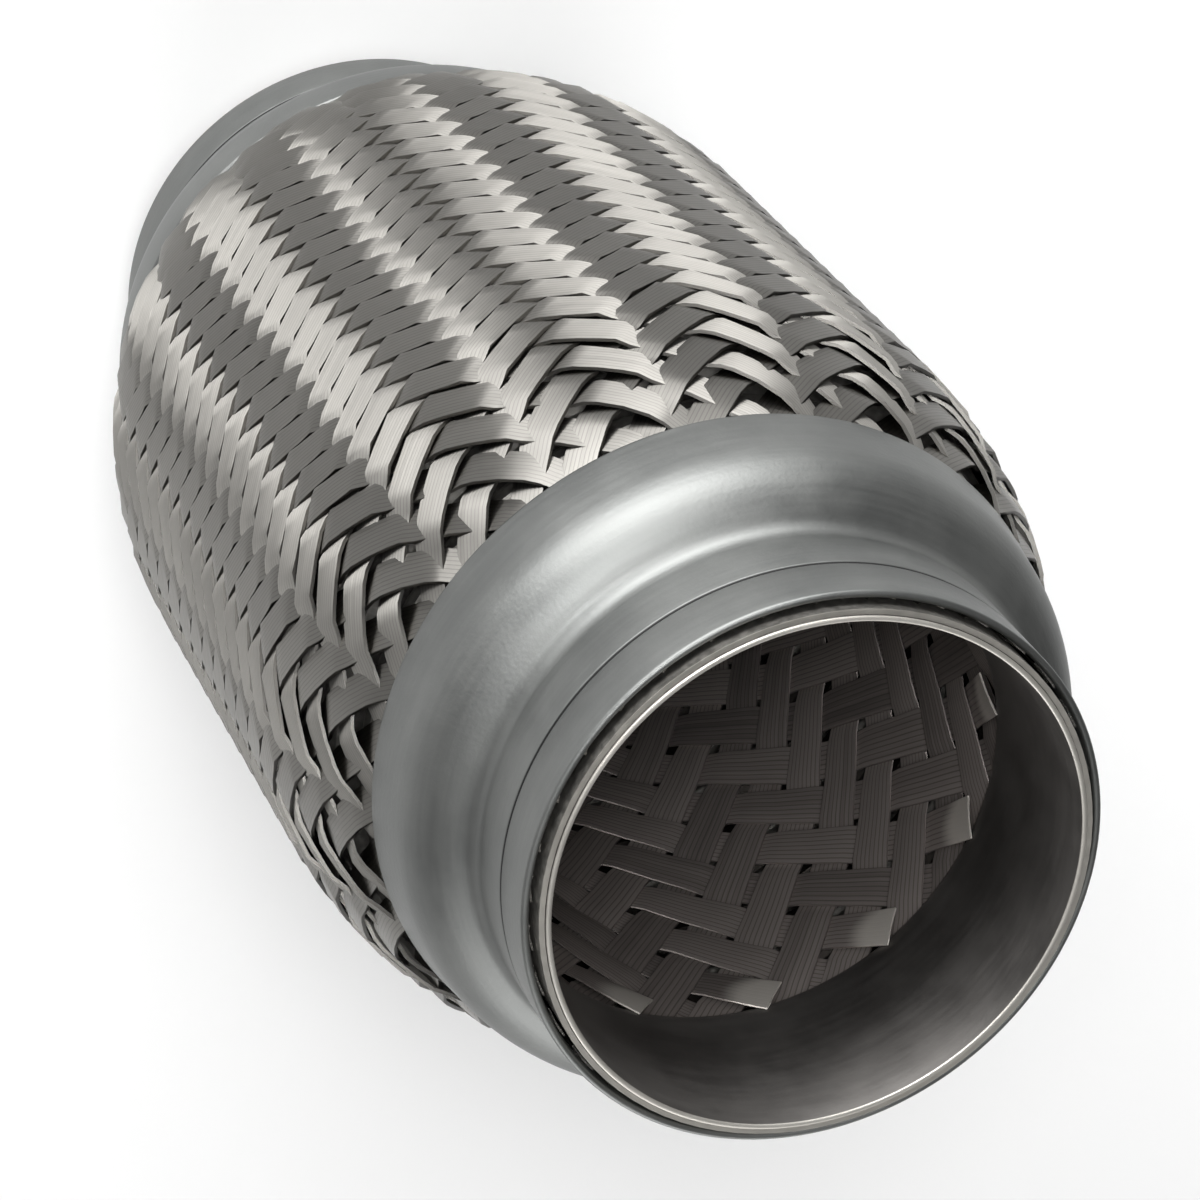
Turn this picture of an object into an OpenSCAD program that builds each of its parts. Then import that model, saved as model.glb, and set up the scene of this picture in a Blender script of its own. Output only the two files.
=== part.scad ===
// Straight exhaust flex pipe: a corrugated bellows between an outer and an inner strip braid,
// closed at each end by a pressed cap outside and a smooth sleeve inside.
// It stands on its lower end face, with +Z along its axis.

/* [Pipe] */
// Length from end face to end face
pipe_l = 132; // [110:1:220]
// Bore of the inner sleeves, which take the exhaust pipes
bore_d = 45.5; // [38:0.5:60]
// Radial gap between pieces that lie on each other
seat_gap = 0.05; // [0.02:0.01:0.1]
// Gap along the axis between pieces that follow each other
end_gap = 0.2; // [0.1:0.05:0.4]

/* [Inner sleeves] */
// Wall of a sleeve
sleeve_wall = 0.5; // [0.4:0.05:1]
// Length of the rolled lip at a sleeve's inner end
sleeve_lip_l = 2.1; // [1.5:0.1:3]
// How far the rolled lip opens outwards
sleeve_lip_rise = 0.45; // [0.2:0.05:0.8]
// Length of inner braid that a sleeve's lip holds down
sleeve_hold_l = 3.2; // [0.8:0.1:5]

/* [Bellows] */
// Wall of the bellows, both plies together
bellows_wall = 0.45; // [0.3:0.05:0.7]
// Number of convolutions
convolutions = 17; // [14:1:25]
// Height of a convolution from root to crest
crest_h = 8.4; // [6:0.2:10]
// Gap between the inner braid's room and the bellows' cuff
root_step = 1.2; // [1:0.1:2]
// Length of the slope between cuff and root
cuff_slope_l = 1.2; // [1:0.1:2.5]
// How far the first root lies under the skirt
first_root_depth = 3.5; // [1:0.1:4]
// How far the cuff's end lies behind the sleeve's
cuff_setback = 0.2; // [0:0.05:0.5]
// Gap kept between a crest and the outer braid
crest_gap = 0.3; // [0.1:0.05:1]

/* [Outer braid] */
// Strips that wind each way
outer_strips = 34; // [28:2:40]
// Crossings of one strip column between the caps
outer_rows = 20; // [16:1:24]
// Thickness of the braid where it is clamped at the necks
clamped_wall = 0.3; // [0.3:0.05:0.8]
// Thickness of the braid at the valleys of the weave
outer_wall = 0.6; // [0.4:0.05:1]
// Height of a strip's crown over the valleys
outer_crown = 0.95; // [0.4:0.05:1.2]
// Length over which the braid swells beside each cap
rise_l = 20; // [10:1:34]
// How far the strips' cut ends lie behind the sleeve's end
braid_setback = 0.7; // [0.3:0.1:2]
// Share of a crossing that the open gaps beside the caps take
gap_share = 0.3; // [0.15:0.05:0.4]

/* [Inner braid] */
// Strips that wind each way
inner_strips = 24; // [20:2:28]
// Crossings of one strip column between the sleeves
inner_rows = 12; // [9:1:16]
// Height of a strip's crown over the valleys
inner_crown = 0.7; // [0.3:0.05:0.9]

/* [End caps] */
// Wall of a cap
cap_wall = 0.7; // [0.5:0.05:1.2]
// How far a cap's lip lies behind the sleeve's end
lip_setback = 1; // [0.5:0.1:3]
// Width of the rounding on the lip
lip_round = 0.3; // [0.1:0.05:0.5]
// Distance from the end face to the end of the straight neck
neck_l = 11.4; // [9:0.1:18]
// Distance from the end face to the line rolled into the neck
line_z = 6.4; // [4:0.2:8]
// Width of that line
line_w = 0.4; // [0.2:0.05:0.8]
// Depth of that line
line_depth = 0.12; // [0.05:0.01:0.25]
// Radius of the fillet between neck and shoulder
fillet_r = 2; // [1:0.1:3]
// Angle of the shoulder's steepest place to the axis
shoulder_angle = 65; // [55:1:75]
// Angle of the skirt to the axis
skirt_angle = 8; // [2:1:15]
// Length of the straight skirt
skirt_l = 5; // [3:0.2:8]
// How far the skirt's edge stands out from the neck
skirt_step = 5.7; // [4.8:0.1:9]

/* [Hidden] */
$fn = 96;
arc_steps = 8;

// Radii from the bore outwards: sleeve, bellows cuff, clamped braid, cap
bore_r = bore_d / 2;
sleeve_r = bore_r + sleeve_wall;
cuff_r = sleeve_r + seat_gap;
cuff_outer_r = cuff_r + bellows_wall;
clamp_back_r = (cuff_outer_r + seat_gap) / cos(180 / outer_strips);
clamp_front_r = clamp_back_r + clamped_wall;
cap_neck_r = clamp_front_r + seat_gap;
neck_r = cap_neck_r + cap_wall;
root_r = cuff_r + root_step;
root_outer_r = root_r + bellows_wall;
lip_r = sleeve_r + sleeve_lip_rise;

// Pressed form of a cap, measured from the end face
shoulder_r = (skirt_step - fillet_r * (1 - cos(shoulder_angle)) - skirt_l * sin(skirt_angle))
    / (cos(skirt_angle) - cos(shoulder_angle));
fillet_centre = [neck_r + fillet_r, neck_l];
shoulder_centre = fillet_centre - (fillet_r + shoulder_r) * out_of(shoulder_angle);
skirt_edge = shoulder_centre + shoulder_r * out_of(skirt_angle)
    + skirt_l * [sin(skirt_angle), cos(skirt_angle)];
skirt_inside = skirt_edge - (cap_wall + seat_gap) * out_of(skirt_angle);
skirt_z = skirt_inside[1];

// Heights where the pieces inside a cap change form
slope_z = clamped_rings(false)[1][1];
root_z = slope_z + cuff_slope_l;
inner_braid_z = root_z + end_gap;
sleeve_end_z = inner_braid_z + sleeve_hold_l;
sleeve_l = sleeve_end_z - sleeve_lip_l;
first_root_z = skirt_z - first_root_depth;
convolution_pitch = (pipe_l - 2 * first_root_z) / convolutions;

// Outward direction of a face that leans by an angle from the axis, in radius and height
function out_of(lean) = [cos(lean), -sin(lean)];

function arc(centre, r, from, to) =
    [for (i = [0 : arc_steps])
        let (a = from + (to - from) * i / arc_steps) centre + r * [cos(a), sin(a)]];

// A list of points in radius and height turned end for end along the pipe
function flipped(points) =
    [for (i = [len(points) - 1 : -1 : 0]) [points[i][0], pipe_l - points[i][1]]];

function reversed(list) = [for (i = [len(list) - 1 : -1 : 0]) list[i]];

// Radius of the outer braid's valleys at a height between the two skirts: it swells from the caps
// until it lies on the bellows' crests
swollen_r = (root_outer_r + crest_h + crest_gap) / cos(180 / outer_strips) + outer_wall;
function valley_r(z) =
    let (from_skirt = min(z, pipe_l - z) - skirt_z,
         left = max(0, 1 - from_skirt / rise_l))
    swollen_r - (swollen_r - skirt_inside[0]) * pow(left, 2);

// Faces of the outer braid under a cap: along the neck, up the shoulder's steepest place, and
// straight on to the skirt's edge
function clamped_rings(front) =
    let (depth = front ? 0 : outer_wall,
         neck = front ? clamp_front_r : clamp_back_r,
         steepest = fillet_centre - (fillet_r + cap_wall + seat_gap + depth) * out_of(shoulder_angle),
         bend_z = steepest[1] - (steepest[0] - neck) / tan(shoulder_angle))
    [[neck, braid_setback], [neck, bend_z], steepest, skirt_inside - [depth, 0]];

// Rings of the outer braid's woven face, one for each half row of crossings
row_z = (pipe_l - 2 * skirt_z) / (2 * outer_rows);
outer_front = concat(
    clamped_rings(true),
    [for (i = [1 : 2 * outer_rows - 1])
        let (z = skirt_z + i * row_z) [valley_r(z), z]],
    flipped(clamped_rings(true)));

// Rings of its plain face: fine beside the gaps, coarse between them
plain_z = concat(
    [skirt_z + row_z, skirt_z + 2 * row_z],
    [for (share = [0.11, 0.22, 0.5, 0.78, 0.89]) skirt_z + share * (pipe_l - 2 * skirt_z)],
    [pipe_l - skirt_z - 2 * row_z, pipe_l - skirt_z - row_z]);
outer_back = concat(
    clamped_rings(false),
    [for (z = plain_z) [valley_r(z) - outer_wall, z]],
    flipped(clamped_rings(false)));
gap_ring = len(clamped_rings(true));

// Radius of a crest: the full height where there is room, less where the outer braid is near
back_by_height = [for (ring = outer_back) [ring[1], ring[0]]];
function crest_r(z, half_width) =
    let (braid_r = min(lookup(z - half_width, back_by_height), lookup(z + half_width, back_by_height)))
    max(root_outer_r + convolution_pitch / 2,
        min(root_outer_r + crest_h, braid_r * cos(180 / outer_strips) - crest_gap));

// Rings of the inner braid: its woven face looks into the bore
inner_valley_r = (lip_r + seat_gap) / cos(180 / inner_strips);
inner_back_r = root_r - seat_gap;
inner_first_z = sleeve_end_z + end_gap;
inner_row_z = (pipe_l - 2 * inner_first_z) / (2 * inner_rows);
inner_front = concat(
    [[inner_valley_r, inner_braid_z]],
    [for (i = [0 : 2 * inner_rows]) [inner_valley_r, inner_first_z + i * inner_row_z]],
    [[inner_valley_r, pipe_l - inner_braid_z]]);
inner_back = [for (z = [inner_braid_z, pipe_l / 2, pipe_l - inner_braid_z]) [inner_back_r, z]];

// Net of a woven face. Every ring holds one corner at every other step around the pipe, shifted
// by one step from ring to ring. Two strips cross in the middle of four corners. A sheet is
// [rings, strips, first woven ring, last woven ring, rings with gaps].
ABOVE = 0;
LEFT = 1;
BELOW = 2;
RIGHT = 3;

function around(d, strips) = (d + 4 * strips) % (2 * strips);

function on_ring(ring, d, strips) =
    let (a = d * 180 / strips) [ring[0] * cos(a), ring[0] * sin(a), ring[1]];

function is_woven(sheet, s) = s >= sheet[2] && s <= sheet[3];

// Gaps open at the foot of each V that two strip columns make
function is_open(sheet, s, d) = len(search(s, sheet[4])) > 0 && around(d, sheet[1]) % 4 == 1;

function gap_corners(sheet) =
    [for (s = sheet[4], c = [0 : sheet[1] / 2 - 1]) [s, 4 * c + 1]];

// Vertex numbers: corners first, then crowns, then four corners for each gap
function crown_base(sheet) = len(sheet[0]) * sheet[1];

function gap_base(sheet) = crown_base(sheet) + max(0, sheet[3] - sheet[2] + 1) * sheet[1];

function crown(sheet, s, d) =
    crown_base(sheet) + (s - sheet[2]) * sheet[1] + floor(around(d, sheet[1]) / 2);

function corner(sheet, s, d, side) =
    is_open(sheet, s, d)
        ? gap_base(sheet) + side
            + 4 * (search(s, sheet[4])[0] * sheet[1] / 2 + floor(around(d, sheet[1]) / 4))
        : s * sheet[1] + floor(around(d, sheet[1]) / 2);

function sheet_points(sheet, lift) =
    let (rings = sheet[0], strips = sheet[1])
    concat(
        [for (s = [0 : len(rings) - 1], m = [0 : strips - 1])
            on_ring(rings[s], 2 * m + (s + 1) % 2, strips)],
        [for (s = [0 : len(rings) - 1], m = [0 : strips - 1])
            if (is_woven(sheet, s)) on_ring(rings[s] + [lift, 0], 2 * m + s % 2, strips)],
        [for (at = gap_corners(sheet), side = [ABOVE, LEFT, BELOW, RIGHT])
            let (s = at[0],
                 toward = side == ABOVE ? s + 1 : side == BELOW ? s - 1 : s,
                 turn = side == RIGHT ? gap_share : side == LEFT ? -gap_share : 0)
            on_ring(rings[s] + gap_share * (rings[toward] - rings[s]), at[1] + turn, strips)]);

// Facets of one crossing. Each strip lies over two crossings in a row and then under two, so the
// crowns of such a pair share a ridge in place of the edge between them.
function crossing_facets(sheet, s, d) =
    let (c = [corner(sheet, s - 1, d, ABOVE), corner(sheet, s, d + 1, LEFT),
              corner(sheet, s + 1, d, BELOW), corner(sheet, s, d - 1, RIGHT)],
         place = around(d, sheet[1]) % 4,
         shared = [0, 2, 1, 3][place],
         partner_s = s + [-1, 1, 1, -1][place],
         partner_d = d + [1, -1, 1, -1][place],
         at_gap = len([for (corner_s = [s, partner_s])
             if (is_open(sheet, corner_s, corner_s == s ? partner_d : d)) 1]) > 0,
         ridge = is_woven(sheet, partner_s) && !at_gap)
    is_woven(sheet, s)
        ? [for (k = [0 : 3])
            [c[k],
             k == shared && ridge ? crown(sheet, partner_s, partner_d) : c[(k + 1) % 4],
             crown(sheet, s, d)]]
        : [[c[0], c[1], c[3]], [c[3], c[1], c[2]]];

// Slivers from a gap's four corners to the corners around it
function gap_facets(sheet, s, d) =
    [for (turn = [[RIGHT, ABOVE, 1, 1], [ABOVE, LEFT, 1, -1], [LEFT, BELOW, -1, -1], [BELOW, RIGHT, -1, 1]])
        [corner(sheet, s, d, turn[0]),
         corner(sheet, s + turn[2], d + turn[3], ABOVE),
         corner(sheet, s, d, turn[1])]];

function sheet_facets(sheet) =
    let (strips = sheet[1], top = len(sheet[0]) - 1)
    concat(
        [for (s = [1 : top - 1], m = [0 : strips - 1]) each crossing_facets(sheet, s, 2 * m + s % 2)],
        [for (m = [0 : strips - 1], d = [2 * m])
            [corner(sheet, 0, d - 1, ABOVE), corner(sheet, 0, d + 1, ABOVE), corner(sheet, 1, d, ABOVE)]],
        [for (m = [0 : strips - 1], d = [2 * m])
            [corner(sheet, top - 1, d, ABOVE), corner(sheet, top, d + 1, ABOVE),
             corner(sheet, top, d - 1, ABOVE)]],
        [for (at = gap_corners(sheet)) each gap_facets(sheet, at[0], at[1])]);

function quad(a, b, c, d) = [[a, b, c], [a, c, d]];

// Closed wall between a woven face and a plain back face, with its two edges and its gaps' sides
module braid(front, back, lift, woven_inside) {
    strips = front[1];
    points = sheet_points(front, lift);
    first = len(points);
    front_top = len(front[0]) - 1;
    back_top = len(back[0]) - 1;
    back_facets = [for (f = sheet_facets(back)) [first + f[2], first + f[1], first + f[0]]];
    edges = [for (m = [0 : strips - 1], d = [2 * m])
        each concat(
            quad(corner(front, 0, d + 1, 0), corner(front, 0, d - 1, 0),
                 first + corner(back, 0, d - 1, 0), first + corner(back, 0, d + 1, 0)),
            quad(corner(front, front_top, d - 1, 0), corner(front, front_top, d + 1, 0),
                 first + corner(back, back_top, d + 1, 0), first + corner(back, back_top, d - 1, 0)))];
    gap_sides = [for (i = [0 : 1 : len(gap_corners(front)) - 1], side = [ABOVE, LEFT, BELOW, RIGHT])
        let (here = gap_base(front) + 4 * i + side,
             next = gap_base(front) + 4 * i + (side + 1) % 4,
             behind = first + gap_base(back) - gap_base(front))
        each quad(here, next, behind + next, behind + here)];
    facets = concat(sheet_facets(front), back_facets, edges, gap_sides);
    polyhedron(
        points = concat(points, sheet_points(back, 0)),
        faces = woven_inside ? facets : [for (f = facets) reversed(f)]);
}

module at_upper_end() {
    translate([0, 0, pipe_l]) mirror([0, 0, 1]) children();
}

// A cap's face at a depth behind its outside, from the fillet to the skirt's edge
function cap_face(depth) = concat(
    arc(fillet_centre, fillet_r + depth, 180, 180 - shoulder_angle),
    arc(shoulder_centre, shoulder_r - depth, -shoulder_angle, -skirt_angle),
    [skirt_edge - depth * out_of(skirt_angle)]);

module end_cap() {
    lip = [
        [cap_neck_r, lip_setback],
        [neck_r - lip_round, lip_setback],
        [neck_r, lip_setback + lip_round]];
    line = [
        [neck_r, line_z - line_w / 2],
        [neck_r - line_depth, line_z],
        [neck_r, line_z + line_w / 2]];
    rotate_extrude() polygon(concat(lip, line, cap_face(0), reversed(cap_face(cap_wall))));
}

module inner_sleeve() {
    lip = [for (i = [1 : arc_steps])
        let (t = i / arc_steps) [sleeve_lip_rise * t * t, sleeve_l + t * sleeve_lip_l]];
    rotate_extrude() polygon(concat(
        [[sleeve_r, 0], [bore_r, 0], [bore_r, sleeve_l]],
        [for (p = lip) p + [bore_r, 0]],
        [for (p = reversed(lip)) p + [sleeve_r, 0]],
        [[sleeve_r, sleeve_l]]));
}

// Half circles of one face of the bellows: a crest bulges out and a root bulges in
crest_turn = [-90 : 30 : 90];
function bellows_face(shift) =
    let (crest_bend = convolution_pitch / 4 + bellows_wall / 2 - shift,
         root_bend = convolution_pitch / 4 - bellows_wall / 2 + shift,
         half_width = convolution_pitch / 4 + bellows_wall / 2,
         root_centre_r = root_outer_r - shift + root_bend)
    [for (k = [0 : convolutions])
        let (z = first_root_z + k * convolution_pitch,
             crest_z = z + convolution_pitch / 2,
             crest_centre_r = crest_r(crest_z, half_width) - half_width)
        each concat(
            [for (a = crest_turn) if ((k > 0 || a >= 0) && (k < convolutions || a <= 0))
                [root_centre_r - root_bend * cos(a), z + root_bend * sin(a)]],
            k == convolutions ? [] : [for (a = crest_turn)
                [crest_centre_r + crest_bend * cos(a), crest_z + crest_bend * sin(a)]])];

function bellows_end(shift) = [
    [cuff_outer_r - shift, cuff_setback],
    [cuff_outer_r - shift, slope_z],
    [root_outer_r - shift, root_z]];

module bellows() {
    outside = concat(bellows_end(0), bellows_face(0), flipped(bellows_end(0)));
    inside = concat(
        bellows_end(bellows_wall), bellows_face(bellows_wall), flipped(bellows_end(bellows_wall)));
    color("dimgray") rotate_extrude() polygon(concat(outside, reversed(inside)));
}

module outer_braid() {
    front_top = len(outer_front) - 1;
    back_top = len(outer_back) - 1;
    front = [outer_front, outer_strips, gap_ring, front_top - gap_ring, [gap_ring, front_top - gap_ring]];
    back = [outer_back, outer_strips, 1, 0, [gap_ring, back_top - gap_ring]];
    color("silver") braid(front, back, outer_crown, false);
}

module inner_braid() {
    front_top = len(inner_front) - 1;
    front = [inner_front, inner_strips, 2, front_top - 2, []];
    back = [inner_back, inner_strips, 1, 0, []];
    color("rosybrown") braid(front, back, -inner_crown, true);
}

module upper_end_cap() {
    color("darkgray") at_upper_end() end_cap();
}

module lower_end_cap() {
    color("darkgray") end_cap();
}

module upper_inner_sleeve() {
    color("gray") at_upper_end() inner_sleeve();
}

module lower_inner_sleeve() {
    color("gray") inner_sleeve();
}

outer_braid();
bellows();
inner_braid();
upper_end_cap();
lower_end_cap();
upper_inner_sleeve();
lower_inner_sleeve();
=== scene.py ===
# %% [markdown]
# # Exhaust flex pipe
# A flex pipe joins two stiff lengths of exhaust and lets the engine rock between them. A thin
# bellows keeps the gas in, a braid of steel strips guards it on each side, and a pressed cap and
# a smooth sleeve close each end. The CAD solids give every size. This lesson dresses them: it
# weaves the two braids strip by strip, turns the caps and sleeves as smooth rings, and gives each
# of them its own steel.

# %% Load the frame
import math
import random

import bmesh
import bpy
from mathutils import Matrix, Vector


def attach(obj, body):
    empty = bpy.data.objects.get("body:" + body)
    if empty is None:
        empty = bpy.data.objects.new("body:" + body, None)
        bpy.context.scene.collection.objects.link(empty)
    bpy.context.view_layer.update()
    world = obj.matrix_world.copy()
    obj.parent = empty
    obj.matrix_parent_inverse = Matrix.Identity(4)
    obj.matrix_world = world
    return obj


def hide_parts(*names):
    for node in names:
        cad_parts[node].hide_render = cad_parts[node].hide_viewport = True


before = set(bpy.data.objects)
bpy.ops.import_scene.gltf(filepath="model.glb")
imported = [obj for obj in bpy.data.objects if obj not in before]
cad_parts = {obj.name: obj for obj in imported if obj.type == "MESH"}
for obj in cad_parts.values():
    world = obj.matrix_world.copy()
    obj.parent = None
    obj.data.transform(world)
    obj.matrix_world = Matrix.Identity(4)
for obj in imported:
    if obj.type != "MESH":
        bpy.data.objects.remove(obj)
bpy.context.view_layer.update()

# %% [markdown]
# ## Sizes
# The pieces have to lie where the solids lie, so the sizes below repeat the named values of the
# part's source, in metres. The cap's profile is what the braid is held by: a fillet and a round
# shoulder that meet at one slope, and a skirt that opens a little. Working the two arcs out from
# their radii keeps them tangent, so no crease shows where one goes over into the other.

# %% Sizes of the pipe and its caps
MM = 0.001
PIPE_L = 132 * MM
BORE_R = 22.75 * MM
SLEEVE_R = 23.25 * MM
CAP_WALL = 0.7 * MM
NECK_R = 24.952 * MM
LIP_Z = 1.0 * MM
NECK_L = 11.4 * MM
FILLET_R = 2.0 * MM
SHOULDER_R = 6.781 * MM
SHOULDER_ANGLE = math.radians(65)
SKIRT_ANGLE = math.radians(8)
SKIRT_L = 5.0 * MM
SEAT_GAP = 0.05 * MM


def lean(angle):
    """Outward direction, in radius and height, of a face that leans from the axis by an angle."""
    return Vector((math.cos(angle), -math.sin(angle)))


fillet_centre = Vector((NECK_R + FILLET_R, NECK_L))
shoulder_centre = fillet_centre - (FILLET_R + SHOULDER_R) * lean(SHOULDER_ANGLE)
skirt_start = shoulder_centre + SHOULDER_R * lean(SKIRT_ANGLE)
skirt_slope = Vector((math.sin(SKIRT_ANGLE), math.cos(SKIRT_ANGLE)))
skirt_edge = skirt_start + SKIRT_L * skirt_slope
skirt_inside = skirt_edge - (CAP_WALL + SEAT_GAP) * lean(SKIRT_ANGLE)
print("skirt edge, radius and height in mm:", [round(size / MM, 2) for size in skirt_edge])

# %% [markdown]
# ## End caps
# A cap is pressed from one round of sheet steel: a rolled lip, a straight neck with a thin line
# turned into it, a tight fillet, a shoulder and a skirt. A lathe or screw modifier could turn it,
# but a spin in bmesh leaves a plain closed mesh with its place in the vertices. The profile is a
# closed loop of points, outside first and then back along the inside, so one full spin with
# merged ends gives a solid ring. The lip and the skirt's edge are rounded, because a sheet edge
# catches a thin line of light there.

# %% Profile of a cap
EDGE_STEPS = 8
FILLET_STEPS = 10
SHOULDER_STEPS = 18


def arc(centre, radius, start, end, steps):
    """Points on an arc, as radius and height, from one angle to another."""
    angles = [start + (end - start) * i / steps for i in range(steps + 1)]
    return [centre + radius * Vector((math.cos(a), math.sin(a))) for a in angles]


def cap_face(depth):
    """A cap's fillet and shoulder, at a depth behind its outside."""
    fillet = arc(fillet_centre, FILLET_R + depth, math.pi, math.pi - SHOULDER_ANGLE, FILLET_STEPS)
    start, end = -SHOULDER_ANGLE, -SKIRT_ANGLE
    shoulder = arc(shoulder_centre, SHOULDER_R - depth, start, end, SHOULDER_STEPS)
    return fillet + shoulder[1:]


# Height and depth in mm of the points across the turned line
NECK_LINE = [(-0.32, 0), (-0.2, 0.03), (-0.1, 0.1), (0, 0.12), (0.1, 0.1), (0.2, 0.03), (0.32, 0)]
NECK_LINE_Z = 6.4 * MM
half_wall = CAP_WALL / 2
lip_middle = Vector((NECK_R - half_wall, LIP_Z + half_wall))
lip_round = arc(lip_middle, half_wall, -math.pi, 0, EDGE_STEPS)
neck_line = [Vector((NECK_R - d * MM, NECK_LINE_Z + z * MM)) for z, d in NECK_LINE]
edge_middle = skirt_edge - half_wall * lean(SKIRT_ANGLE) - half_wall * skirt_slope
skirt_round = arc(edge_middle, half_wall, -SKIRT_ANGLE, math.pi - SKIRT_ANGLE, EDGE_STEPS)
cap_profile = lip_round + neck_line + cap_face(0) + skirt_round + cap_face(CAP_WALL)[::-1]
print("cap profile:", len(cap_profile), "points")

# %% Turn a profile into a ring
TURN_STEPS = 192
MERGE_DIST = 0.001 * MM


def flipped(profile):
    """A profile turned end for end along the pipe."""
    return [Vector((p.x, PIPE_L - p.y)) for p in profile]


def turned_ring(name, profile):
    """A closed ring, spun from a closed profile of radius and height."""
    bm = bmesh.new()
    corners = [bm.verts.new((p.x, 0, p.y)) for p in profile]
    loop = [bm.edges.new((corners[i - 1], corners[i])) for i in range(len(corners))]
    bmesh.ops.spin(
        bm, geom=corners + loop, cent=(0, 0, 0), axis=(0, 0, 1), dvec=(0, 0, 0),
        angle=2 * math.pi, steps=TURN_STEPS, use_merge=True)
    bmesh.ops.remove_doubles(bm, verts=bm.verts, dist=MERGE_DIST)
    bmesh.ops.recalc_face_normals(bm, faces=bm.faces)
    return finished_piece(name, bm)


def finished_piece(name, bm):
    """A piece of the pipe from a bmesh, shaded smooth, that rides on the CAD body."""
    for face in bm.faces:
        face.smooth = True
    mesh = bpy.data.meshes.new(name)
    bm.to_mesh(mesh)
    bm.free()
    piece = bpy.data.objects.new(name, mesh)
    bpy.context.scene.collection.objects.link(piece)
    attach(piece, "root")
    print(name, "has", len(mesh.polygons), "faces")
    return piece


# %% Turn both caps
lower_cap = turned_ring("lower_cap", cap_profile)
upper_cap = turned_ring("upper_cap", flipped(cap_profile))
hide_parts("lower_end_cap")
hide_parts("upper_end_cap")

# %% [markdown]
# ## Inner sleeves
# A sleeve is the smooth ring that the exhaust pipe slides into. Its outer end is ground flat with
# a small break on both edges, and its inner end rolls outwards over the braid, so that no raw edge
# stands in the gas. It is a ring like the caps, so the same spin makes it. The roll is a parabola
# in the source and stays one here.

# %% Turn both sleeves
SLEEVE_L = 16.174 * MM
SLEEVE_LIP_L = 2.1 * MM
SLEEVE_LIP_RISE = 0.45 * MM
EDGE_BREAK = 0.12 * MM
EDGE_BEND = 0.4 * EDGE_BREAK
ROLL_STEPS = 8

shares = [i / ROLL_STEPS for i in range(ROLL_STEPS + 1)]
roll = [Vector((SLEEVE_LIP_RISE * share ** 2, SLEEVE_L + SLEEVE_LIP_L * share)) for share in shares]
sleeve_end = [
    Vector((SLEEVE_R, EDGE_BREAK)),
    Vector((SLEEVE_R - EDGE_BEND, EDGE_BEND)),
    Vector((SLEEVE_R - EDGE_BREAK, 0)),
    Vector((BORE_R + EDGE_BREAK, 0)),
    Vector((BORE_R + EDGE_BEND, EDGE_BEND)),
    Vector((BORE_R, EDGE_BREAK)),
]
bore_face = [p + Vector((BORE_R, 0)) for p in roll]
back_face = [p + Vector((SLEEVE_R, 0)) for p in reversed(roll)]
sleeve_profile = sleeve_end + bore_face + back_face
lower_sleeve = turned_ring("lower_sleeve", sleeve_profile)
upper_sleeve = turned_ring("upper_sleeve", flipped(sleeve_profile))
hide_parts("lower_inner_sleeve")
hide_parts("upper_inner_sleeve")

# %% [markdown]
# ## A strip of wires
# Each strip of the braids is a flat band of eight thin wires that lie side by side. Curves with a
# bevel could make it, but a band needs its flat side held against the pipe, and a curve's twist is
# hard to hold. So a flat grid becomes the band: one direction of the grid runs along the strip,
# and the other runs once around its cross section, where the two borders meet and are merged. The
# upper face has a low ridge for each wire, and the ends are closed. Only the strip's two borders are
# marked sharp, so the wires and the bends shade softly. The strip also gets a UV map of its own, in
# which u runs across the wires and v along them, because its steel has to follow the wires.

# %% Cross section of a strip
WIRES = 8
OUTER_WIDTH = 3.25 * MM
TOP_POINTS = 2 * WIRES
AROUND = TOP_POINTS + 4
RIDGE = 0.014 * MM
CROWN = 0.08 * MM


def section_point(step, width, thickness, crown, ridge):
    """Place across and height over the middle, for one step around a strip's cross section."""
    step = step % AROUND
    if step <= TOP_POINTS:
        across = 2 * step / TOP_POINTS - 1
        height = thickness / 2 + crown * (1 - across ** 2) + (ridge if step % 2 else 0)
        return across * width / 2, height
    across = (1, 0, -1)[step - TOP_POINTS - 1]
    return across * width / 2, -thickness / 2 + crown * (1 - across ** 2)


print("a strip's cross section has", AROUND, "faces around it")

# %% Lay a strip along a path
SEAM_DIST = 0.0005 * MM
BORDER_ANGLE = math.radians(50)


def lay_strip(bm, uv_layer, path):
    """Adds a strip to a bmesh. A path step is (middle, outward, width, thickness, slant of the cut)."""
    count = len(path) - 1
    made = bmesh.ops.create_grid(bm, x_segments=count, y_segments=AROUND, size=1)["verts"]
    middles = [step[0] for step in path]
    places = {}
    for vert in made:
        i = round((vert.co.x + 1) / 2 * count)
        j = round((vert.co.y + 1) / 2 * AROUND)
        places[vert] = (i, j)
    faces = {face for vert in made for face in vert.link_faces}
    lengths = [0]
    for i in range(count):
        lengths.append(lengths[-1] + (middles[i + 1] - middles[i]).length)
    for face in faces:
        for loop in face.loops:
            i, j = places[loop.vert]
            width, slant = path[i][2], path[i][4]
            across = section_point(j, width, 0, 0, 0)[0]
            travel = lengths[i] + slant * across
            loop[uv_layer].uv = (across / width + 0.5, travel / OUTER_WIDTH)
    for vert, (i, j) in places.items():
        middle, outward, width, thickness, slant = path[i]
        along = (middles[min(i + 1, count)] - middles[max(i - 1, 0)]).normalized()
        side = outward.cross(along).normalized()
        up = along.cross(side)
        across, height = section_point(j, width, thickness, CROWN, RIDGE)
        vert.co = middle + across * side + height * up + slant * across * along
    bmesh.ops.remove_doubles(bm, verts=made, dist=SEAM_DIST)
    ends = [edge for edge in bm.edges if edge.is_boundary]
    bmesh.ops.holes_fill(bm, edges=ends, sides=0)


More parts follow.
